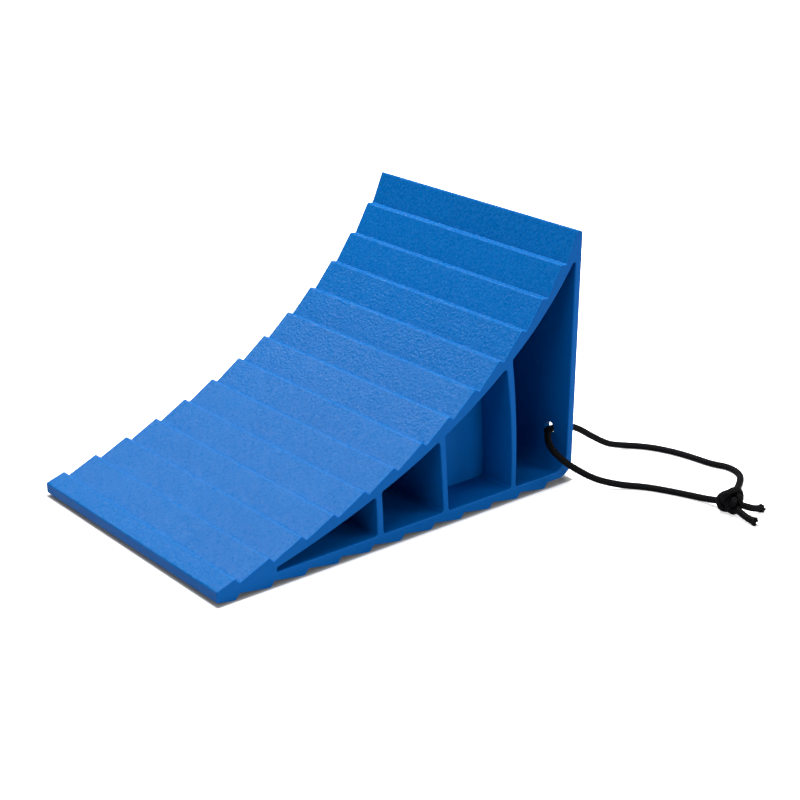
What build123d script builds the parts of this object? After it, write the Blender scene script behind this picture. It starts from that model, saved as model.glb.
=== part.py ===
from build123d import *
import math
import os

os.makedirs("parts", exist_ok=True)

# Wheel chock: one moulded body with a curved, toothed ramp, and a braided pull
# rope looped through a hole in its rear wall.
# Frame: +X from the toe to the heel, +Y across the width, +Z up.
# Origin: middle of the body's footprint, on the ground under the base teeth.

# ---------------------------------------------------------------- dimensions
LENGTH = 200.0            # toe to heel
WIDTH = 137.5             # across the treads
TREAD_CHORD = 17.3        # tip to tip, along the ramp
TREAD_HEADINGS = [13.57, 15.32, 17.28, 19.50, 22.01, 24.85, 28.06,
                  31.68, 35.74, 40.28, 45.34, 50.95, 57.16]   # degrees, toe to top
FIRST_TIP = (9.3, 9.46)   # first tread tip, measured from the toe and the ground
RISER_LENGTH = 3.15       # short face behind each tread tip
RISER_TURN = 61.0         # its angle below the next tread's heading
TOP_RISER_ANGLE = 23.0    # fall of the last short face, at the top of the wall
TOE_HEIGHT = 6.5          # blunt nose at the toe
TOE_UNDER = 1.5           # height of the nose's lower corner

BASE_PITCH = 17.35        # base teeth
BASE_FIRST_ROOT = 11.4
BASE_TEETH = 11
TOOTH_DEPTH = 2.5
TOOTH_RAKE = 2.1          # how far each tooth's tip leads its root
TOOTH_LAND = 1.0          # flat on each tooth's tip, which rests on the ground

RAMP_SKIN = 6.35          # tread tip line to the ramp's underside
FLOOR_TOP = 6.1           # upper face of the base plate
WALL = 3.6                # rear wall
HEEL_R = 7.8              # outer radius at the heel
HEEL_INNER_R = 8.2

WEB = 3.6                 # wall on the centre plane between facing pockets
PANEL_DEPTH = 19.7        # the shallow third pocket, on one side

POCKET_R = 1.4
EDGE_R = 0.5              # softened side edges
PART_LINE = 4.8           # height of the mould's parting line on the base
PART_DRAFT = 0.35         # how far the lower side band falls in
WALL_LINE = 98.6          # the same line on the rear wall's end faces
WALL_DRAFT = 0.2
RIM_R = 0.6               # softened pocket rims

HOLE_D = 6.0              # rope hole in the rear wall
HOLE_Y = -56.4
HOLE_Z = 23.1

ROPE_D = 3.0

HX = LENGTH / 2.0
HW = WIDTH / 2.0


def at(x, z):
    """Toe-based profile point to the row's frame."""
    return (x - HX, z)


# ------------------------------------------------------------- body outline
tips = [FIRST_TIP]
for h in TREAD_HEADINGS:
    a = math.radians(h)
    tips.append((tips[-1][0] + TREAD_CHORD * math.cos(a),
                 tips[-1][1] + TREAD_CHORD * math.sin(a)))

top = [(0.0, TOE_HEIGHT)]
for i, t in enumerate(tips[:-1]):
    a = math.radians(TREAD_HEADINGS[i] - RISER_TURN)
    top.append(t)
    top.append((t[0] + RISER_LENGTH * math.cos(a), t[1] + RISER_LENGTH * math.sin(a)))
top.append(tips[-1])
crown_z = tips[-1][1] - (LENGTH - tips[-1][0]) * math.tan(math.radians(TOP_RISER_ANGLE))
top.append((LENGTH, crown_z))

bottom = []
for j in reversed(range(BASE_TEETH)):
    root = BASE_FIRST_ROOT + BASE_PITCH * j
    bottom.append((root, TOOTH_DEPTH))
    bottom.append((root - TOOTH_RAKE, 0.0))
    bottom.append((root - TOOTH_RAKE - TOOTH_LAND, 0.0))

outline = [at(0.0, TOE_UNDER)] + [at(*p) for p in top] + [at(LENGTH, TOOTH_DEPTH)] \
    + [at(*p) for p in bottom]
face = make_face(Polyline(*outline, close=True).edges())


def near(v, pts, tol=0.05):
    return any(abs(v.X - p[0]) < tol and abs(v.Y - p[1]) < tol for p in pts)


tip_pts = [at(*t) for t in tips]
valley_pts = [at(*p) for p in top[2:-2:2]]
low_pts = [at(*p) for p in bottom[1::3]]
root_pts = [at(*p) for p in bottom[0::3]]

vs = face.vertices()
face = fillet(vs.filter_by(lambda v: near(v, tip_pts)), 0.7)
face = fillet(face.vertices().filter_by(lambda v: near(v, low_pts)), 0.4)
face = fillet(face.vertices().filter_by(lambda v: near(v, valley_pts + root_pts)), 0.4)
face = fillet(face.vertices().filter_by(lambda v: near(v, [at(LENGTH, TOOTH_DEPTH)])), HEEL_R)
face = fillet(face.vertices().filter_by(
    lambda v: near(v, [at(0.0, TOE_UNDER), at(0.0, TOE_HEIGHT), at(LENGTH, crown_z)])), 0.9)

print("outline area", round(face.area, 1), "crown z", round(crown_z, 2),
      "top tip", tuple(round(c, 2) for c in tips[-1]))


def slab(sketch, y0, y1):
    """Extrude an outline drawn in the XZ plane from y0 to y1 (y1 > y0)."""
    return extrude(Plane.XZ.offset(-y1) * sketch, amount=(y1 - y0))


body = slab(face, -HW, HW)

# --------------------------------------------------------------- side pockets
# ramp underside: the tread tip line, moved in by the skin
under = []
for i in range(len(tips)):
    h0 = TREAD_HEADINGS[max(i - 1, 0)]
    h1 = TREAD_HEADINGS[min(i, len(TREAD_HEADINGS) - 1)]
    a = math.radians(0.5 * (h0 + h1))
    under.append((tips[i][0] + RAMP_SKIN * math.sin(a), tips[i][1] - RAMP_SKIN * math.cos(a)))


def under_z(x):
    for p, q in zip(under[:-1], under[1:]):
        if p[0] <= x <= q[0]:
            return p[1] + (q[1] - p[1]) * (x - p[0]) / (q[0] - p[0])
    raise ValueError(x)


def arc_x(z, pts):
    """x on the circle through three (x, z) points, at height z."""
    (x1, z1), (x2, z2), (x3, z3) = pts
    d = 2 * (x1 * (z2 - z3) + x2 * (z3 - z1) + x3 * (z1 - z2))
    if abs(d) < 1e-9:
        return x1
    ux = ((x1**2 + z1**2) * (z2 - z3) + (x2**2 + z2**2) * (z3 - z1) + (x3**2 + z3**2) * (z1 - z2)) / d
    uz = ((x1**2 + z1**2) * (x3 - x2) + (x2**2 + z2**2) * (x1 - x3) + (x3**2 + z3**2) * (x2 - x1)) / d
    r = math.hypot(x1 - ux, z1 - uz)
    s = 1 if x2 > ux else -1
    return ux + s * math.sqrt(max(r * r - (z - uz)**2, 0.0))


# rib faces, each a shallow arc that leans to the toe at the top
R1A = [(82.9, 6.1), (82.6, 14.0), (81.9, 24.0)]
R1B = [(86.3, 6.1), (86.0, 14.0), (85.2, 25.0)]
R2A = [(120.4, 6.1), (119.2, 22.0), (117.4, 41.0)]
R2B = [(123.5, 6.1), (122.2, 22.0), (120.5, 42.0)]
R3A = [(161.2, 6.1), (160.2, 34.6), (156.2, 65.0)]
R3B = [(164.1, 6.1), (163.3, 35.0), (159.5, 69.0)]


def rib_top(pts):
    """Where a rib face meets the ramp's underside."""
    lo, hi = 6.1, 110.0
    for _ in range(60):
        m = 0.5 * (lo + hi)
        if m < under_z(arc_x(m, pts)):
            lo = m
        else:
            hi = m
    return arc_x(lo, pts), lo


def ramp_points(x0, x1):
    return [p for p in under if x0 + 3.0 < p[0] < x1 - 3.0]


def pocket_face(left, right, apex=None):
    """left/right: rib face arcs or None for the pointed toe pocket."""
    edges = []
    if left is None:
        # pointed pocket: floor meets the ramp's underside
        x = 30.0
        while under_z(x) < FLOOR_TOP + 0.9:
            x += 0.05
        start_top = (x, under_z(x))
        start_bot = (x, FLOOR_TOP)
    else:
        start_top = rib_top(left)
        start_bot = (left[0][0], FLOOR_TOP)
    if right == "wall":
        xr = LENGTH - WALL
        # the top of the wall pocket is cut flat just before the ramp meets the wall
        xa = xr - 1.6
        end_top = (xa, under_z(xa))
        end_bot = (xr, FLOOR_TOP)
        corner = (xr, under_z(xa) + 0.35)
    else:
        end_top = rib_top(right)
        end_bot = (right[0][0], FLOOR_TOP)
        corner = None
    pts_top = [start_top] + ramp_points(start_top[0], end_top[0]) + [end_top]
    edges.append(Spline(*[at(*p) for p in pts_top]))
    if corner:
        edges.append(Line(at(*end_top), at(*corner)))
        edges.append(Line(at(*corner), at(*end_bot)))
    else:
        zm = 0.5 * (end_top[1] + FLOOR_TOP)
        edges.append(ThreePointArc(at(*end_top), at(arc_x(zm, right), zm), at(*end_bot)))
    edges.append(Line(at(*end_bot), at(*start_bot)))
    if left is None:
        edges.append(Line(at(*start_bot), at(*start_top)))
    else:
        zm = 0.5 * (start_top[1] + FLOOR_TOP)
        edges.append(ThreePointArc(at(*start_bot), at(arc_x(zm, left), zm), at(*start_top)))
    f = make_face(edges)
    if right == "wall":
        f = fillet(f.vertices().filter_by(lambda v: near(v, [at(*end_bot)])), HEEL_INNER_R)
        f = fillet(f.vertices().filter_by(lambda v: near(v, [at(*start_bot), at(*start_top)])), POCKET_R)
        f = fillet(f.vertices().filter_by(lambda v: near(v, [at(*corner)])), 0.5)
    elif left is None:
        f = fillet(f.vertices().filter_by(lambda v: near(v, [at(*start_bot), at(*start_top)])), 0.42)
        f = fillet(f.vertices().filter_by(lambda v: near(v, [at(*end_bot), at(*end_top)])), POCKET_R)
    else:
        f = fillet(f.vertices().filter_by(
            lambda v: near(v, [at(*start_bot), at(*start_top), at(*end_bot), at(*end_top)])), POCKET_R)
    return f


pockets = {
    "toe": pocket_face(None, R1A),
    "front": pocket_face(R1B, R2A),
    "middle": pocket_face(R2B, R3A),
    "rear": pocket_face(R3B, "wall"),
}


def pocket_solid(sketch, depth, side):
    """A pocket cut in from one side face."""
    far = extrude(Plane.XZ.offset(-HW) * sketch, amount=depth)
    return far if side > 0 else mirror(far, about=Plane.XZ)


cuts = []
for name, sk in pockets.items():
    for side in (-1, 1):
        depth = HW - WEB / 2.0
        if name == "middle":
            depth = PANEL_DEPTH if side < 0 else WIDTH - PANEL_DEPTH - WEB
        cuts.append(pocket_solid(sk, depth, side))
for c in cuts:
    print("pocket", [round(v, 2) for v in (c.bounding_box().min.X, c.bounding_box().min.Y, c.bounding_box().min.Z,
                                           c.bounding_box().max.X, c.bounding_box().max.Y, c.bounding_box().max.Z)],
          round(c.volume, 0), c.is_valid)
    body = body - c

# rope hole through the rear wall, near one side
hole = Plane(origin=(HX - WALL - 4, HOLE_Y, HOLE_Z), z_dir=(1, 0, 0)) * Cylinder(
    HOLE_D / 2, WALL + 12, align=(Align.CENTER, Align.CENTER, Align.MIN))
body = body - hole

print("body", body.volume, body.is_valid, len(body.solids()), len(body.faces()))

# ------------------------------------------------------------ softened edges
def side_face(b, side):
    return max([f for f in b.faces() if abs(f.center().Y - side * HW) < 0.01
                and f.bounding_box().size.Y < 0.01], key=lambda f: f.area)


body = body.solids()[0]
for side in (-1, 1):
    rims = [e for w in side_face(body, side).inner_wires() for e in w.edges()]
    body = body.fillet(RIM_R, rims)
    ramp = [e for e in side_face(body, side).outer_wire().edges()
            if e.center().Z > TOE_HEIGHT / 2 - 0.6 and not (e.center().X > HX - 0.05 and e.length > 5)
            and not (e.center().X > 0 and e.center().Z < 15)]
    body = body.fillet(EDGE_R, ramp)

# -------------------------------------------------------- mould parting bands
# Below the parting line the base's sides fall in slightly; the rear wall's end
# faces do the same behind their own line.
for side in (-1, 1):
    band = Plane.YZ * make_face(Polyline(
        (side * HW, PART_LINE), (side * (HW - PART_DRAFT * 1.2), -PART_LINE * 0.2),
        (side * (HW + 1), -PART_LINE * 0.2), (side * (HW + 1), PART_LINE), close=True).edges())
    body = body - Pos(-HX - 1, 0, 0) * extrude(band, amount=LENGTH + 2)
    strip = make_face(Polyline(
        (WALL_LINE, side * HW), (HX + 0.2, side * (HW - WALL_DRAFT)),
        (HX + 0.2, side * (HW + 1)), (WALL_LINE, side * (HW + 1)), close=True).edges())
    body = body - Pos(0, 0, -1) * extrude(strip, amount=tips[-1][1] + 2)

body = body.solids()[0]
rims = [e for e in body.edges() if e.geom_type == GeomType.CIRCLE
        and abs(e.radius - HOLE_D / 2) < 0.01 and abs(e.center().Y - HOLE_Y) < 0.1]
body = body.fillet(0.45, rims)

print("body", round(body.volume, 1), body.is_valid, len(body.faces()))
export_step(body, "parts/chock_body.step")

# ------------------------------------------------------------------ pull rope
# One cord: through the hole in the rear wall, its two strands lie on the ground
# behind the heel and are tied together in a double overhand knot with two tails.
OUTER_ROUTE = [(98.2, -56.4, 22.3), (104.8, -56.4, 22.3), (115.0, -56.8, 18.6), (125.0, -57.4, 11.6),
               (136.4, -58.0, 4.6), (147.0, -58.6, 1.5), (154.6, -67.0, 1.5), (159.8, -79.0, 1.5),
               (162.0, -91.5, 1.5), (162.8, -101.0, 1.5), (166.6, -108.8, 1.5), (163.6, -118.2, 1.5),
               (154.6, -124.6, 1.5), (146.0, -129.2, 1.8), (139.4, -133.6, 3.4), (133.0, -138.2, 5.2)]
INNER_ROUTE = [(98.2, -56.4, 22.3), (92.7, -56.4, 22.3), (87.8, -59.6, 22.4), (85.0, -66.2, 22.7), (84.4, -72.2, 19.2),
               (87.8, -76.1, 14.3), (94.3, -76.3, 10.1), (102.8, -82.1, 4.4), (113.0, -90.4, 1.5), (118.1, -98.9, 1.5),
               (123.0, -108.5, 1.5), (127.2, -118.4, 1.5), (129.2, -127.8, 2.2), (128.9, -136.4, 4.6)]
TAIL_A_ROUTE = [(130.6, -144.6, 5.2), (133.6, -146.7, 3.9), (137.0, -148.0, 2.6), (141.2, -148.9, 2.0)]
TAIL_B_ROUTE = [(127.3, -145.4, 4.2), (127.0, -149.1, 3.0), (127.2, -152.6, 2.0), (127.7, -156.2, 1.7)]
KNOT_CENTRE = (128.8, -141.4, 5.75)
KNOT_ALONG = 6.0          # half length, along the strands
KNOT_ACROSS = 5.6         # half width and half height


def cord(name, route):
    pts = [Vector(*p) for p in route]
    radii = []
    for a, b, c in zip(pts[:-2], pts[1:-1], pts[2:]):
        turn = (b - a).get_angle(c - b)
        radii.append(0.45 * min((b - a).length, (c - b).length) / math.tan(math.radians(turn / 2)))
    path = FilletPolyline(*pts, radius=radii)
    start = Plane(origin=path @ 0, z_dir=path % 0)
    tube = sweep(start * Circle(ROPE_D / 2), path=path)
    want = math.pi * (ROPE_D / 2) ** 2 * path.length
    print(name, "length", round(path.length, 1), "volume/section*length", round(tube.volume / want, 4),
          "valid", tube.is_valid, "z", round(tube.bounding_box().min.Z, 3),
          "radii", [round(r, 1) for r in radii])
    export_step(tube, f"parts/{name}.step")
    return tube


outer = cord("rope_outer_strand", OUTER_ROUTE)
inner = cord("rope_inner_strand", INNER_ROUTE)
tail_a = cord("rope_tail_upper", TAIL_A_ROUTE)
tail_b = cord("rope_tail_lower", TAIL_B_ROUTE)

half = make_face([EllipticalCenterArc((0, 0), KNOT_ALONG, KNOT_ACROSS, start_angle=0, arc_size=180),
                  Line((-KNOT_ALONG, 0), (KNOT_ALONG, 0))])
knot = revolve(half, axis=Axis.X)
knot = Pos(*KNOT_CENTRE) * Rot(0, 0, 90) * knot
print("knot", round(knot.volume, 1), knot.is_valid, knot.bounding_box())
export_step(knot, "parts/rope_knot.step")

for n, t in (("outer", outer), ("inner", inner), ("tail upper", tail_a), ("tail lower", tail_b), ("knot", knot)):
    print(n, "clear of body", round(body.distance_to(t), 2))
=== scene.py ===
"""Visual model of a moulded wheel chock with a braided pull rope."""
import math

import bpy
import numpy as np
from mathutils import Matrix, Vector


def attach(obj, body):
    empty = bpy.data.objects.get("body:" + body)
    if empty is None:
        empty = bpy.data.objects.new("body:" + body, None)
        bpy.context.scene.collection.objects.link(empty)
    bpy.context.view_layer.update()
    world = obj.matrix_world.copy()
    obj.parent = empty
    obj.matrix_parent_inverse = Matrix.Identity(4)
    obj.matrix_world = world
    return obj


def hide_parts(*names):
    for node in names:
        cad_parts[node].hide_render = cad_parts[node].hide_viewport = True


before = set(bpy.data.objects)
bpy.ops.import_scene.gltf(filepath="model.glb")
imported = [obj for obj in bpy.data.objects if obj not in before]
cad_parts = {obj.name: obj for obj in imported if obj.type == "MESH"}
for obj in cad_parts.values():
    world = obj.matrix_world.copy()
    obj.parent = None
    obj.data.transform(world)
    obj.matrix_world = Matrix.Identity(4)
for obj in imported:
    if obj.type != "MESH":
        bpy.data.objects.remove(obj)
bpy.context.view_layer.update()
scene = bpy.context.scene
MM = 0.001


# ------------------------------------------------------------------ camera
def make_camera():
    right = Vector((0.766723, -0.641920, 0.008670))
    up = Vector((0.227827, 0.284699, 0.931151))
    back = Vector((-0.600192, -0.711959, 0.364532))
    data = bpy.data.cameras.new("camera")
    data.lens = 75.969
    data.sensor_width = 36.0
    data.clip_start, data.clip_end = 0.01, 20.0
    data.dof.use_dof = False
    cam = bpy.data.objects.new("camera", data)
    scene.collection.objects.link(cam)
    turn = Matrix((right, up, back)).transposed()
    cam.matrix_world = Matrix.Translation((-0.429474, -0.571649, 0.323217)) @ turn.to_4x4()
    scene.camera = cam


make_camera()


# ------------------------------------------------------------------ cord lines
ROPE_D = 3.0
OUTER_ROUTE = [(98.2, -56.4, 22.3), (104.8, -56.4, 22.3), (115.0, -56.8, 18.6), (125.0, -57.4, 11.6),
               (136.4, -58.0, 4.6), (147.0, -58.6, 1.5), (154.6, -67.0, 1.5), (159.8, -79.0, 1.5),
               (162.0, -91.5, 1.5), (162.8, -101.0, 1.5), (166.6, -108.8, 1.5), (163.6, -118.2, 1.5),
               (154.6, -124.6, 1.5), (146.0, -129.2, 1.8), (139.4, -133.6, 3.4), (133.0, -138.2, 5.2)]
# the inner run's fold is moved by up to 4 mm from the CAD tube, where the real cord turns closer to the hole
INNER_ROUTE = [(98.2, -56.4, 22.3), (93.8, -57.5, 23.2), (89.9, -62.3, 24.2), (85.1, -66.7, 23.7), (83.3, -71.5, 20.6),
               (86.0, -75.9, 16.0), (91.7, -79.1, 11.0), (100.1, -84.4, 5.1), (109.9, -91.1, 2.0), (118.1, -98.9, 1.5),
               (123.0, -108.5, 1.5), (127.2, -118.4, 1.5), (129.2, -127.8, 2.2), (128.9, -136.4, 4.6)]
# inside the knot: A carries on from the outer run and comes out as the lower tail, B from the inner run to the upper tail
KNOT_A_ROUTE = [
    (133.00, -138.20, 5.20), (132.08, -138.34, 5.72), (131.14, -138.37, 6.20), (130.17, -138.70, 6.28), (129.57, -139.42, 5.85), (129.73, -140.34, 5.39),
    (130.04, -141.26, 5.65), (129.81, -141.94, 6.39), (129.18, -142.38, 7.13), (128.42, -142.78, 7.75), (127.54, -143.24, 8.09), (126.69, -143.61, 7.69),
    (126.34, -143.68, 6.73), (126.80, -143.36, 5.86), (127.53, -142.95, 5.21), (128.22, -142.63, 4.48), (128.70, -142.27, 3.61), (128.64, -141.55, 2.86),
    (128.17, -140.71, 2.44), (127.55, -139.87, 2.25), (126.93, -139.01, 2.21), (126.38, -138.11, 2.37), (126.04, -137.25, 2.86), (125.99, -136.58, 3.67),
    (126.13, -136.13, 4.62), (126.40, -135.93, 5.62), (126.73, -136.00, 6.63), (127.12, -136.33, 7.55), (127.55, -136.97, 8.27), (127.96, -137.86, 8.66),
    (128.19, -138.87, 8.61), (128.01, -139.76, 8.11), (127.50, -140.36, 7.41), (126.87, -140.69, 6.62), (126.30, -140.89, 5.75), (125.97, -141.15, 4.78),
    (126.00, -141.65, 3.85), (126.26, -142.33, 3.08), (126.69, -143.14, 2.57), (127.19, -144.04, 2.68), (127.46, -144.75, 3.39), (127.30, -145.40, 4.20),
]
KNOT_B_ROUTE = [
    (128.90, -136.40, 4.60), (128.55, -137.56, 4.40), (127.57, -138.22, 4.64), (126.73, -138.40, 5.52), (126.15, -138.49, 6.62), (125.82, -138.74, 7.79),
    (125.89, -139.19, 8.94), (126.37, -139.71, 9.95), (127.22, -140.17, 10.73), (128.29, -140.54, 11.23), (129.47, -140.84, 11.49), (130.69, -141.09, 11.43),
    (131.83, -141.34, 11.03), (132.76, -141.60, 10.25), (133.29, -141.87, 9.16), (133.50, -142.08, 7.96), (133.50, -142.20, 6.72), (133.30, -142.15, 5.49),
    (132.92, -141.88, 4.34), (132.35, -141.30, 3.41), (131.68, -140.48, 2.77), (130.97, -139.55, 2.33), (130.25, -138.57, 2.04), (129.54, -137.56, 1.89),
    (128.84, -136.53, 1.93), (128.24, -135.51, 2.30), (127.86, -134.62, 3.06), (127.92, -134.14, 4.19), (128.29, -134.11, 5.37), (128.85, -134.52, 6.39),
    (129.43, -135.20, 7.26), (129.96, -136.08, 7.98), (130.40, -137.09, 8.54), (130.71, -138.24, 8.89), (130.81, -139.48, 8.99), (130.79, -140.73, 8.97),
    (130.75, -141.97, 8.98), (130.64, -143.21, 8.88), (130.30, -144.27, 8.38), (129.84, -144.78, 7.37), (129.85, -144.68, 6.17), (130.60, -144.60, 5.20),
]
TAIL_A_ROUTE = [(130.6, -144.6, 5.2), (133.6, -146.7, 3.9), (137.0, -148.0, 2.6), (141.2, -148.9, 2.0)]
TAIL_B_ROUTE = [(127.3, -145.4, 4.2), (127.0, -149.1, 3.0), (127.2, -152.6, 2.0), (127.7, -156.2, 1.7)]


def spline_points(name, route):
    """The points of a smooth NURBS line with the route's points as its control points, in metres."""
    curve = bpy.data.curves.new(name, "CURVE")
    curve.dimensions = "3D"
    spline = curve.splines.new("NURBS")
    spline.points.add(len(route) - 1)
    for p, c in zip(spline.points, route):
        p.co = (c[0] * MM, c[1] * MM, c[2] * MM, 1.0)
    spline.order_u = 3
    spline.use_endpoint_u = True
    curve.resolution_u = 24
    spline.resolution_u = 24
    obj = bpy.data.objects.new(name, curve)
    scene.collection.objects.link(obj)
    bpy.context.view_layer.update()
    mesh = bpy.data.meshes.new_from_object(obj)
    pts = np.array([v.co for v in mesh.vertices], float)
    bpy.data.objects.remove(obj)
    bpy.data.meshes.remove(mesh)
    bpy.data.curves.remove(curve)
    return pts


outer_line = spline_points("outer_line", OUTER_ROUTE)
inner_line = spline_points("inner_line", INNER_ROUTE)
knot_a_line = spline_points("knot_a_line", KNOT_A_ROUTE)
knot_b_line = spline_points("knot_b_line", KNOT_B_ROUTE)
tail_a_line = spline_points("tail_a_line", TAIL_A_ROUTE)
tail_b_line = spline_points("tail_b_line", TAIL_B_ROUTE)
for n, p in (("outer", outer_line), ("inner", inner_line)):
    print(n, "line mm", round(1000 * float(np.linalg.norm(np.diff(p, axis=0), axis=1).sum()), 1), len(p))


# ------------------------------------------------------------------ node helpers
class Nodes:
    """Small helper that builds a material's node tree."""

    def __init__(self, name):
        self.mat = bpy.data.materials.new(name)
        self.mat.use_nodes = True
        self.tree = self.mat.node_tree
        self.tree.nodes.clear()
        self.out = self.tree.nodes.new("ShaderNodeOutputMaterial")
        self.bsdf = self.tree.nodes.new("ShaderNodeBsdfPrincipled")
        self.link(self.bsdf.outputs["BSDF"], self.out.inputs["Surface"])

    def link(self, a, b):
        self.tree.links.new(a, b)

    def new(self, kind, **props):
        n = self.tree.nodes.new(kind)
        for k, v in props.items():
            setattr(n, k, v)
        return n

    def put(self, socket, value):
        if isinstance(value, bpy.types.NodeSocket):
            self.link(value, socket)
        else:
            socket.default_value = value

    def math(self, op, a, b=None, clamp=False):
        n = self.new("ShaderNodeMath", operation=op, use_clamp=clamp)
        self.put(n.inputs[0], a)
        if b is not None:
            self.put(n.inputs[1], b)
        return n.outputs[0]

    def coords(self):
        return self.new("ShaderNodeTexCoord").outputs["Object"]

    def xyz(self, vec):
        n = self.new("ShaderNodeSeparateXYZ")
        self.link(vec, n.inputs[0])
        return n.outputs

    def noise(self, vec, scale, detail=2.0, rough=0.5, distortion=0.0):
        n = self.new("ShaderNodeTexNoise")
        self.link(vec, n.inputs["Vector"])
        n.inputs["Scale"].default_value = scale
        n.inputs["Detail"].default_value = detail
        n.inputs["Roughness"].default_value = rough
        n.inputs["Distortion"].default_value = distortion
        return n.outputs["Fac"]

    def voronoi(self, vec, scale, feature="F1", smooth=None):
        n = self.new("ShaderNodeTexVoronoi", feature=feature)
        self.link(vec, n.inputs["Vector"])
        n.inputs["Scale"].default_value = scale
        if smooth is not None and "Smoothness" in n.inputs:
            n.inputs["Smoothness"].default_value = smooth
        return n.outputs["Distance"]

    def rng(self, value, lo, hi, out_lo=0.0, out_hi=1.0, smooth=False):
        n = self.new("ShaderNodeMapRange")
        n.interpolation_type = "SMOOTHSTEP" if smooth else "LINEAR"
        n.clamp = True
        self.put(n.inputs["Value"], value)
        n.inputs["From Min"].default_value = lo
        n.inputs["From Max"].default_value = hi
        n.inputs["To Min"].default_value = out_lo
        n.inputs["To Max"].default_value = out_hi
        return n.outputs["Result"]

    def mix(self, fac, a, b):
        n = self.new("ShaderNodeMix", data_type="RGBA")
        self.put(n.inputs[0], fac)
        self.put(n.inputs[6], a)
        self.put(n.inputs[7], b)
        return n.outputs[2]

    def bump(self, height, strength, distance, normal=None):
        n = self.new("ShaderNodeBump")
        self.put(n.inputs["Strength"], strength)
        n.inputs["Distance"].default_value = distance
        self.put(n.inputs["Height"], height)
        if normal is not None:
            self.link(normal, n.inputs["Normal"])
        return n.outputs["Normal"]


# ------------------------------------------------------------------ body plastic
HEADINGS = [13.57, 15.32, 17.28, 19.50, 22.01, 24.85, 28.06, 31.68, 35.74, 40.28, 45.34, 50.95, 57.16]
TIPS = [(9.3, 9.46)]
for h in HEADINGS:
    TIPS.append((TIPS[-1][0] + 17.3 * math.cos(math.radians(h)), TIPS[-1][1] + 17.3 * math.sin(math.radians(h))))


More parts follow.
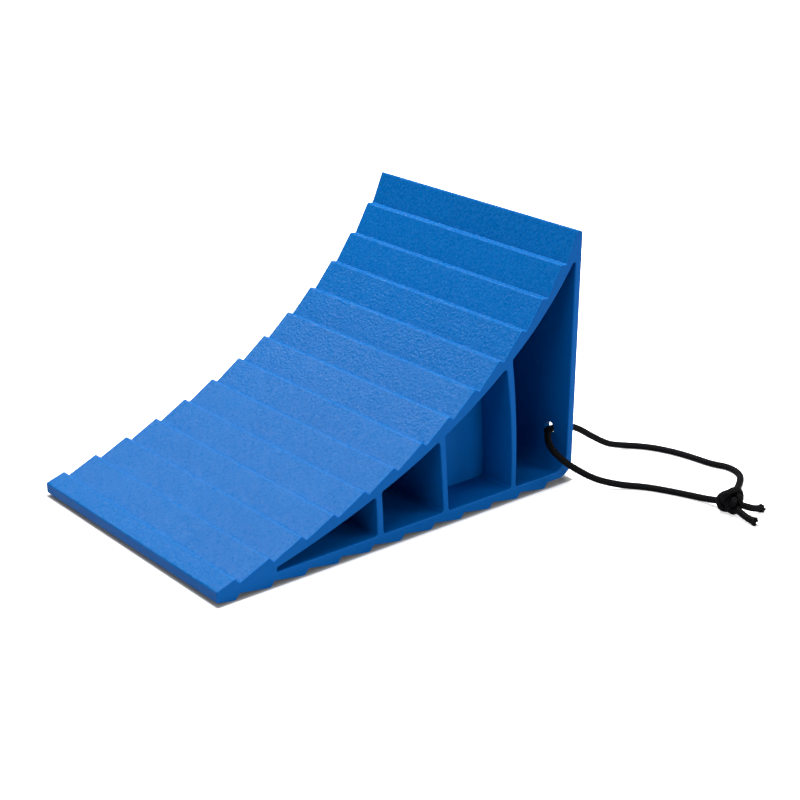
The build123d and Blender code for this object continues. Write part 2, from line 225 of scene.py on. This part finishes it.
def body_material():
    m = Nodes("blue_polypropylene")
    b = m.bsdf
    obj = m.coords()
    x, y, z = m.xyz(obj)
    # height of the ramp surface above a point, as a curve through the tread tips
    curve = m.new("ShaderNodeFloatCurve")
    m.link(m.rng(x, -0.1, 0.1), curve.inputs["Value"])
    c = curve.mapping.curves[0]
    pts = [(0.0, 6.5 / 130)] + [(tx / 200, tz / 130) for tx, tz in TIPS] + [(1.0, 1.0)]
    c.points[0].location = pts[0]
    c.points[1].location = pts[-1]
    for p in pts[1:-1]:
        c.points.new(*p)
    curve.mapping.update()
    ramp_z = m.math("MULTIPLY", curve.outputs["Value"], 0.130)
    above = m.math("SUBTRACT", z, ramp_z)
    normal = m.new("ShaderNodeNewGeometry").outputs["True Normal"]
    nx, ny, nz = m.xyz(normal)
    flat_y = m.rng(m.math("ABSOLUTE", ny), 0.3, 0.6, 1.0, 0.0)
    up = m.rng(nz, 0.15, 0.3)
    near = m.rng(above, -0.0058, -0.0050)
    tread = m.math("MULTIPLY", m.math("MULTIPLY", flat_y, up), near)

    # moulded grain on the treads: fine rounded cells over a slow drift
    grain = m.noise(obj, 900.0, 3.0, 0.62, 0.4)
    cells = m.voronoi(obj, 780.0, "SMOOTH_F1", 0.6)
    drift = m.noise(obj, 55.0, 2.0, 0.5)
    grain_h = m.math("ADD", m.math("MULTIPLY", grain, 0.7), m.math("MULTIPLY", cells, 0.5))
    # the grain is drawn out shallower where the mould face is steep
    grain_h = m.math("MULTIPLY", grain_h, m.rng(nz, 0.50, 0.85, 0.6, 1.0))
    fine = m.noise(obj, 2600.0, 2.0, 0.5)
    side_h = m.math("ADD", m.math("MULTIPLY", fine, 0.12), m.math("MULTIPLY", drift, 0.5))
    height = m.new("ShaderNodeMix", data_type="FLOAT")
    m.link(tread, height.inputs[0])
    m.link(side_h, height.inputs[2])
    m.link(grain_h, height.inputs[3])
    n1 = m.bump(height.outputs[0], 0.75, 0.00042)
    m.link(n1, b.inputs["Normal"])

    # colour: slightly paler worn bloom on the treads, deeper on the smooth sides
    mottling = m.noise(obj, 38.0, 3.0, 0.6)
    speck = m.noise(obj, 700.0, 2.0, 0.6)
    smooth_side = m.mix(m.rng(mottling, 0.3, 0.7), (0.000, 0.079, 0.302, 1.0), (0.000, 0.085, 0.320, 1.0))
    tread_face = m.mix(m.rng(mottling, 0.3, 0.7), (0.000, 0.080, 0.272, 1.0), (0.000, 0.086, 0.288, 1.0))
    base = m.mix(tread, smooth_side, tread_face)
    # painted shade: in the low spots of the tread grain the colour is darkened towards deep blue
    painted_pit_shade = m.math("MULTIPLY", tread, m.rng(grain, 0.30, 0.52, 0.20, 0.0))
    base = m.mix(painted_pit_shade, base, (0.000, 0.038, 0.165, 1.0))
    bloom = m.math("MULTIPLY", tread, m.rng(speck, 0.40, 0.75, 0.0, 0.12))
    colour = m.mix(bloom, base, (0.06, 0.24, 0.60, 1.0))
    behind_toe = m.rng(x, -0.0915, -0.0911)
    # painted highlight: a thin paler line along each tread tip, and along the tread ends on both sides, away from the
    # toe, standing in for light caught by the edges
    painted_edge_highlight = m.math("MULTIPLY", m.math("MULTIPLY", flat_y, up), m.rng(above, -0.00020, -0.00004, 0.0, 0.26))
    painted_edge_highlight = m.math("MULTIPLY", painted_edge_highlight, behind_toe)
    painted_end_highlight = m.math("MULTIPLY", tread, m.rng(m.math("ABSOLUTE", y), 0.06805, 0.06835, 0.0, 0.26))
    painted_edge_highlight = m.math("MAXIMUM", painted_edge_highlight, m.math("MULTIPLY", painted_end_highlight, behind_toe))
    colour = m.mix(painted_edge_highlight, colour, (0.020, 0.200, 0.600, 1.0))
    m.link(colour, b.inputs["Base Color"])
    rough = m.new("ShaderNodeMix", data_type="FLOAT")
    m.link(tread, rough.inputs[0])
    m.link(m.rng(fine, 0.3, 0.7, 0.36, 0.44), rough.inputs[2])
    m.link(m.rng(speck, 0.3, 0.7, 0.25, 0.33), rough.inputs[3])
    m.link(rough.outputs[0], b.inputs["Roughness"])
    b.inputs["IOR"].default_value = 1.49
    b.inputs["Specular IOR Level"].default_value = 0.06
    b.inputs["Subsurface Weight"].default_value = 0.06
    b.inputs["Subsurface Radius"].default_value = (0.2, 0.6, 1.0)
    b.inputs["Subsurface Scale"].default_value = 0.003
    return m.mat


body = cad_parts["chock_body"]
body_mat = body_material()
body.data.materials.clear()
body.data.materials.append(body_mat)


# ------------------------------------------------------------------ braided cord
def rope_material():
    m = Nodes("black_braid")
    b = m.bsdf
    obj = m.coords()
    yarn = m.noise(obj, 2200.0, 3.0, 0.6)
    patch = m.noise(obj, 260.0, 2.0, 0.5)
    colour = m.mix(m.rng(yarn, 0.3, 0.75), (0.0004, 0.0004, 0.0007, 1.0), (0.0036, 0.0036, 0.0048, 1.0))
    colour = m.mix(m.rng(patch, 0.35, 0.8, 0.0, 0.35), colour, (0.0018, 0.0015, 0.0015, 1.0))
    m.link(colour, b.inputs["Base Color"])
    m.link(m.rng(patch, 0.3, 0.7, 0.42, 0.56), b.inputs["Roughness"])
    b.inputs["Specular IOR Level"].default_value = 0.08
    b.inputs["IOR"].default_value = 1.45
    m.link(m.bump(yarn, 0.5, 0.00012), b.inputs["Normal"])
    return m.mat


rope_mat = rope_material()
CARRIERS = 6              # strands wound each way
BRAID_PITCH = 10.0 * MM   # length of one turn of a strand
BRAID_R = 1.25 * MM       # mean radius of the braid
STEP = 0.30 * MM


def resample(points, step):
    seg = np.linalg.norm(np.diff(points, axis=0), axis=1)
    keep = np.concatenate([[True], seg > 1e-9])
    points = points[keep]
    s = np.concatenate([[0], np.cumsum(np.linalg.norm(np.diff(points, axis=0), axis=1))])
    n = max(2, int(round(s[-1] / step)) + 1)
    u = np.linspace(0, s[-1], n)
    return np.stack([np.interp(u, s, points[:, k]) for k in range(3)], -1)


def line_frames(points):
    """Tangent and two normals carried along the line without twist."""
    t = np.gradient(points, axis=0)
    t /= np.linalg.norm(t, axis=1)[:, None]
    n = np.zeros_like(points)
    a = np.array([0.0, 0.0, 1.0])
    a = a - t[0] * (a @ t[0])
    n[0] = a / np.linalg.norm(a)
    for i in range(1, len(points)):
        v = n[i - 1] - t[i] * (n[i - 1] @ t[i])
        n[i] = v / np.linalg.norm(v)
    return t, n, np.cross(t, n)


def tube_faces(base, count, ring):
    i = np.arange(count - 1)[:, None] * ring
    q = np.arange(ring)[None]
    q1 = (q + 1) % ring
    faces = np.stack([base + i + q, base + i + q1, base + i + ring + q1, base + i + ring + q], -1).reshape(-1, 4).tolist()
    faces.append([base + w for w in range(ring)][::-1])
    faces.append([base + (count - 1) * ring + w for w in range(ring)])
    return faces


def braid(points, frames, s, swell, ragged=None):
    """Vertices and faces of twelve flat strands, six each way, over and under each other, round a core."""
    t, n, b = frames
    ring = 8
    verts, faces, total = [], [], 0
    half_w, half_t = 0.48 * MM, 0.25 * MM
    for hand in (1, -1):
        for k in range(CARRIERS):
            count = len(points) - (0 if ragged is None else int(ragged.integers(0, 4)))
            c = slice(0, count)
            theta = hand * 2 * math.pi * s[c] / BRAID_PITCH + 2 * math.pi * k / CARRIERS
            lift = 0.17 * MM * hand * np.cos(2 * math.pi * CARRIERS * s[c] / BRAID_PITCH)
            r = (BRAID_R + lift) * swell[c]
            radial = n[c] * np.cos(theta)[:, None] + b[c] * np.sin(theta)[:, None]
            centre = points[c] + radial * r[:, None]
            centre[:, 2] = np.maximum(centre[:, 2], half_t)
            along = np.gradient(centre, axis=0)
            along /= np.linalg.norm(along, axis=1)[:, None]
            side = np.cross(along, radial)
            side /= np.linalg.norm(side, axis=1)[:, None]
            out = np.cross(side, along)
            rows = []
            for q in range(ring):
                a = 2 * math.pi * q / ring
                cx, cy = math.cos(a), math.sin(a)
                cx = math.copysign(abs(cx) ** 0.8, cx)
                cy = math.copysign(abs(cy) ** 0.9, cy)
                rows.append(centre + side * (half_w * cx * swell[c])[:, None] + out * (half_t * cy))
            verts.append(np.stack(rows, 1).reshape(-1, 3))
            faces += tube_faces(total, count, ring)
            total += count * ring
    ring = 10
    count = len(points) - (0 if ragged is None else 2)
    c = slice(0, count)
    rows = []
    for q in range(ring):
        a = 2 * math.pi * q / ring
        rows.append(points[c] + (n[c] * math.cos(a) + b[c] * math.sin(a)) * (1.06 * MM * swell[c])[:, None])
    verts.append(np.stack(rows, 1).reshape(-1, 3))
    faces += tube_faces(total, count, ring)
    return np.concatenate(verts), faces


def fibres(points, frames, rng, number, longest):
    """Loose cut ends of filaments that stand out of a tail's end."""
    t, n, b = frames
    verts, faces, total = [], [], 0
    ring, count = 4, 7
    for k in range(number):
        i = len(points) - 1 - int(rng.integers(0, 6))
        ang = rng.uniform(0, 2 * math.pi)
        r = rng.uniform(0.3, 1.45) * MM
        radial = n[i] * math.cos(ang) + b[i] * math.sin(ang)
        start = points[i] + radial * r
        go = t[i] + radial * rng.uniform(-0.1, 0.9) + rng.normal(0, 0.18, 3)
        go /= np.linalg.norm(go)
        turn = rng.normal(0, 0.55, 3)
        length = rng.uniform(0.5, 1.0) ** 2 * longest
        u = np.linspace(0, 1, count)[:, None]
        line = start + (go * u + turn * u ** 2 * 0.5) * length
        line[:, 2] = np.maximum(line[:, 2], 0.15 * MM)
        ft, fn, fb = line_frames(line)
        rad = np.linspace(0.085, 0.035, count)[:, None] * MM
        rows = [line + (fn * math.cos(a) + fb * math.sin(a)) * rad for a in (0.0, math.pi / 2, math.pi, 1.5 * math.pi)]
        verts.append(np.stack(rows, 1).reshape(-1, 3))
        faces += tube_faces(total, count, ring)
        total += count * ring
    return np.concatenate(verts), faces


def rope_piece(name, parts, node):
    """One piece from several sets of vertices and faces; it stands in for the CAD solid of that node."""
    verts, faces, base = [], [], 0
    for v, f in parts:
        verts.append(v)
        faces += [[q + base for q in face] for face in f]
        base += len(v)
    mesh = bpy.data.meshes.new(name)
    mesh.from_pydata(np.concatenate(verts).tolist(), [], faces)
    mesh.update()
    mesh.shade_smooth()
    mesh.materials.append(rope_mat)
    obj = bpy.data.objects.new(name, mesh)
    scene.collection.objects.link(obj)
    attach(obj, "root")
    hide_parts(node)
    return obj


def chain(*lines):
    """One evenly stepped line through several lines end to end, and the index where each begins."""
    steps = [resample(p, STEP) for p in lines]
    marks, out = [0], [steps[0]]
    for p in steps[1:]:
        marks.append(sum(len(o) for o in out) - 1)
        out.append(p[1:])
    points = np.concatenate(out)
    marks.append(len(points) - 1)
    return points, marks


def length_along(points):
    return np.concatenate([[0], np.cumsum(np.linalg.norm(np.diff(points, axis=0), axis=1))])


# ------------------------------------------------------------------ the cord: two runs, one knot tied in both, two frayed tails
def smooth_step(x):
    x = np.clip(x, 0.0, 1.0)
    return x * x * (3 - 2 * x)


def cut_run(run_line, knot_line, tail_line, rng):
    """Braid along one strand from the hole to its cut end, split where the knot starts and ends."""
    points, marks = chain(run_line, knot_line, tail_line)
    t, n, b = line_frames(points)
    s = length_along(points)
    s_in, s_out, s_end = s[marks[1]], s[marks[2]], s[-1]
    inside = smooth_step((s - s_in) / (3 * MM)) * smooth_step((s_out - s) / (3 * MM))
    swell = 1.0 - 0.12 * inside + 0.42 * smooth_step((s - s_end + 3.6 * MM) / (3.6 * MM)) ** 1.5
    parts = []
    for k in range(3):
        c = slice(marks[k], marks[k + 1] + 1)
        frames = (t[c], n[c], b[c])
        parts.append([braid(points[c], frames, s[c], swell[c], rng if k == 2 else None)])
        if k == 2:
            parts[2].append(fibres(points[c], frames, rng, 46, 2.0 * MM))
            parts[2].append(fibres(points[c], frames, rng, 5, 4.2 * MM))
    return parts


run_a, knot_a, tail_low = cut_run(outer_line, knot_a_line, tail_b_line, np.random.default_rng(11))
run_b, knot_b, tail_up = cut_run(inner_line, knot_b_line, tail_a_line, np.random.default_rng(23))
outer = rope_piece("outer_strand", run_a, "rope_outer_strand")
inner = rope_piece("inner_strand", run_b, "rope_inner_strand")
knot = rope_piece("double_overhand_knot", knot_a + knot_b, "rope_knot")
tail_a = rope_piece("tail_upper", tail_up, "rope_tail_upper")
tail_b = rope_piece("tail_lower", tail_low, "rope_tail_lower")


# ------------------------------------------------------------------ stage
WORLD = 0.03
LIGHTS = [
    # name, position, aim, width, height, watts
    ("gloss", (-0.13, 0.88, 0.83), (0.0, 0.0, 0.06), 0.20, 0.18, 5.2),
    ("high_back", (0.15, 0.35, 1.20), (0.0, 0.0, 0.05), 0.7, 0.5, 26.5),
    ("overhead", (-0.3, -0.1, 1.3), (0.0, 0.0, 0.0), 0.8, 0.8, 7.0),
    ("right_front", (1.0, -0.9, 0.5), (0.0, 0.0, 0.05), 0.6, 0.6, 8.2),
    ("front_low", (0.2, -1.3, 0.25), (0.0, 0.0, 0.05), 0.6, 0.4, 6.2),
    ("left_front", (-1.0, -0.4, 0.8), (0.0, 0.0, 0.05), 0.6, 0.6, 4.6),
]
# glow of the floor seen by the camera: under the chock's footprint (painted shade), just outside it, and far off
FLOOR_UNDER, FLOOR_NEAR, FLOOR_FAR = 0.03, 0.55, 1.0


def stage():
    """A seamless pale floor that runs out to white, with a painted contact shadow under and close round the chock, and
    soft boxes round it.
    """
    mat = bpy.data.materials.new("floor_white")
    mat.use_nodes = True
    tree = mat.node_tree
    tree.nodes.clear()
    out = tree.nodes.new("ShaderNodeOutputMaterial")
    diffuse = tree.nodes.new("ShaderNodeBsdfDiffuse")
    glow = tree.nodes.new("ShaderNodeEmission")
    glow.inputs["Color"].default_value = (1.0, 1.0, 1.0, 1.0)
    add = tree.nodes.new("ShaderNodeAddShader")
    path = tree.nodes.new("ShaderNodeLightPath")
    coords = tree.nodes.new("ShaderNodeTexCoord")
    spread = tree.nodes.new("ShaderNodeSeparateXYZ")

    def maths(op, a, b):
        node = tree.nodes.new("ShaderNodeMath")
        node.operation = op
        for socket, value in zip(node.inputs, (a, b)):
            if isinstance(value, bpy.types.NodeSocket):
                tree.links.new(value, socket)
            else:
                socket.default_value = value
        return node.outputs[0]

    def rise(distance, start, end, low_value, high_value):
        node = tree.nodes.new("ShaderNodeMapRange")
        node.interpolation_type = "SMOOTHSTEP"
        tree.links.new(distance, node.inputs["Value"])
        for key, value in (("From Min", start), ("From Max", end), ("To Min", low_value), ("To Max", high_value)):
            node.inputs[key].default_value = value
        return node.outputs["Result"]

    # how far a floor point lies outside the chock's footprint
    aside = maths("MAXIMUM", maths("SUBTRACT", maths("ABSOLUTE", spread.outputs[0], 0.0), 0.100),
                  maths("SUBTRACT", maths("ABSOLUTE", spread.outputs[1], 0.0), 0.069))
    # the floor's glow is near nothing under the chock and rises within a few mm of its footprint, painted shade round
    # the chock; further out it runs up to white
    far = maths("ADD", rise(aside, 0.0, 0.0035, FLOOR_UNDER, FLOOR_NEAR), rise(aside, 0.05, 0.45, 0.0, FLOOR_FAR - FLOOR_NEAR))
    seen = tree.nodes.new("ShaderNodeMath")
    seen.operation = "MULTIPLY"
    tint = tree.nodes.new("ShaderNodeMix")
    tint.data_type = "RGBA"
    tint.inputs[6].default_value = (0.50, 0.50, 0.51, 1.0)
    # painted contact shadow: the floor colour seen by the camera is darker under the chock and within 1.5 mm of its
    # footprint
    painted_contact_shadow = rise(aside, 0.0, 0.0015, 0.30, 1.0)
    grey = tree.nodes.new("ShaderNodeCombineColor")
    for socket in grey.inputs:
        tree.links.new(painted_contact_shadow, socket)
    tree.links.new(grey.outputs[0], tint.inputs[7])
    tree.links.new(coords.outputs["Object"], spread.inputs[0])
    tree.links.new(path.outputs["Is Camera Ray"], seen.inputs[0])
    tree.links.new(far, seen.inputs[1])
    tree.links.new(path.outputs["Is Camera Ray"], tint.inputs[0])
    tree.links.new(tint.outputs[2], diffuse.inputs["Color"])
    tree.links.new(seen.outputs[0], glow.inputs["Strength"])
    tree.links.new(diffuse.outputs[0], add.inputs[0])
    tree.links.new(glow.outputs[0], add.inputs[1])
    tree.links.new(add.outputs[0], out.inputs["Surface"])
    mesh = bpy.data.meshes.new("floor")
    mesh.from_pydata([(-8, -8, -0.00005), (8, -8, -0.00005), (8, 8, -0.00005), (-8, 8, -0.00005)], [], [(0, 1, 2, 3)])
    mesh.materials.append(mat)
    floor = bpy.data.objects.new("floor", mesh)
    scene.collection.objects.link(floor)

    world = bpy.data.worlds.new("studio")
    scene.world = world
    world.use_nodes = True
    wt = world.node_tree
    back = wt.nodes["Background"]
    back.inputs["Color"].default_value = (1.0, 1.0, 1.0, 1.0)
    wpath = wt.nodes.new("ShaderNodeLightPath")
    wmix = wt.nodes.new("ShaderNodeMix")
    wmix.data_type = "FLOAT"
    wmix.inputs[2].default_value = WORLD
    wmix.inputs[3].default_value = 1.0
    wt.links.new(wpath.outputs["Is Camera Ray"], wmix.inputs[0])
    wt.links.new(wmix.outputs[0], back.inputs["Strength"])

    for name, at, aim, width, height, watts in LIGHTS:
        if watts <= 0:
            continue
        d = bpy.data.lights.new(name, "AREA")
        d.shape = "RECTANGLE"
        d.size, d.size_y = width, height
        d.energy = watts
        o = bpy.data.objects.new(name, d)
        scene.collection.objects.link(o)
        o.location = at
        o.rotation_mode = "QUATERNION"
        o.rotation_quaternion = (Vector(at) - Vector(aim)).to_track_quat("Z", "Y")
    scene.view_settings.view_transform = "Standard"
    scene.view_settings.look = "None"
    scene.view_settings.exposure = 0.0
    scene.view_settings.gamma = 1.0


stage()
